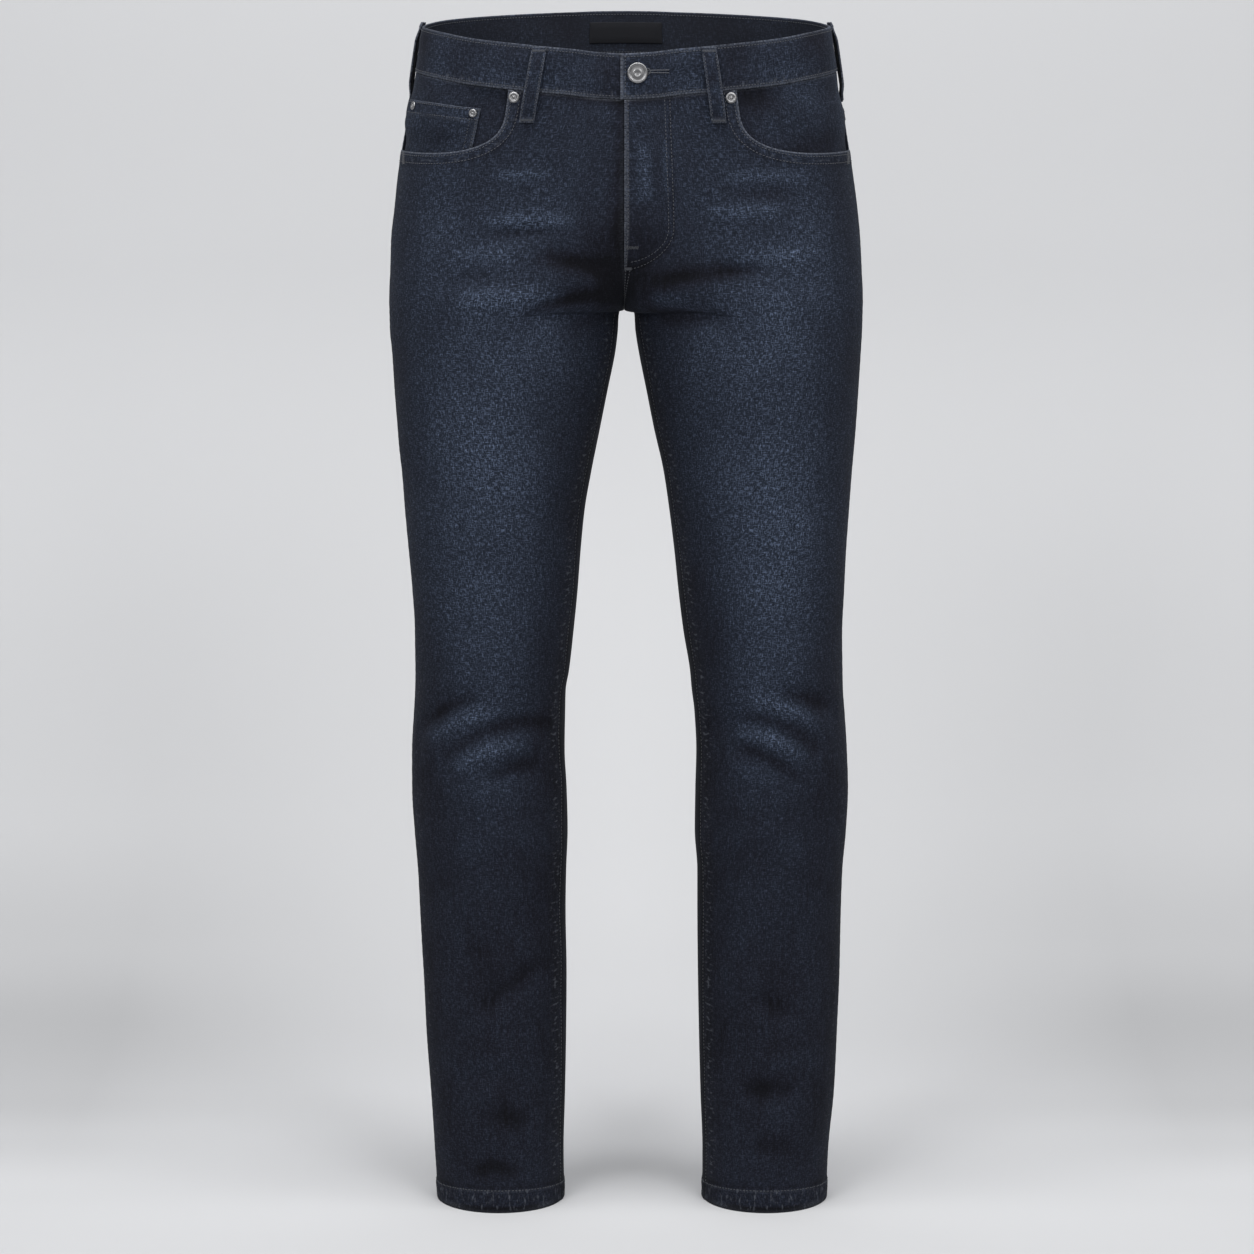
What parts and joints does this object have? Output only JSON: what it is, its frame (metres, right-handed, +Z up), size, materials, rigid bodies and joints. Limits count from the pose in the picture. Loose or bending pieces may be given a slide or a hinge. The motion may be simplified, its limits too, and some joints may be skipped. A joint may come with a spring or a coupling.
{
  "type": "jeans",
  "caption": "Slim denim trousers, hollow and filled out with no wearer, open at the waist and hems, with scoop and patch pockets, coin pocket, yoke, belt loops and shank button",
  "frame": {"origin": "Middle of the waist, inside the waistband, where the jeans are held", "axes": "+Z up along the legs to the waist, +X towards the wearer's left, front faces -Y"},
  "size_m": [0.4248, 0.2072, 1.0856],
  "materials": {
    "denim": "dark indigo twill, faded on the thighs and knees",
    "facing_denim": "dark indigo twill",
    "waistband_denim": "dark indigo twill with stitched edges",
    "label_weave": "blank black damask",
    "antique_metal": "antiqued nickel"
  },
  "bodies": {
    "root": {"front_right": "denim", "front_left": "denim", "back_right": "denim", "back_left": "denim", "yoke_right": "denim", "yoke_left": "denim", "facing_right": "facing_denim", "facing_left": "facing_denim", "back_pocket_right": "denim", "back_pocket_left": "denim", "coin_pocket": "facing_denim", "waistband": "waistband_denim", "loop_front_right": "waistband_denim", "loop_front_left": "waistband_denim", "loop_side_right": "waistband_denim", "loop_side_left": "waistband_denim", "loop_back": "waistband_denim", "label": "label_weave", "button": "antique_metal", "rivet_right": "antique_metal", "rivet_left": "antique_metal", "coin_rivet_inner": "antique_metal", "coin_rivet_outer": "antique_metal"}
  },
  "joints": []
}
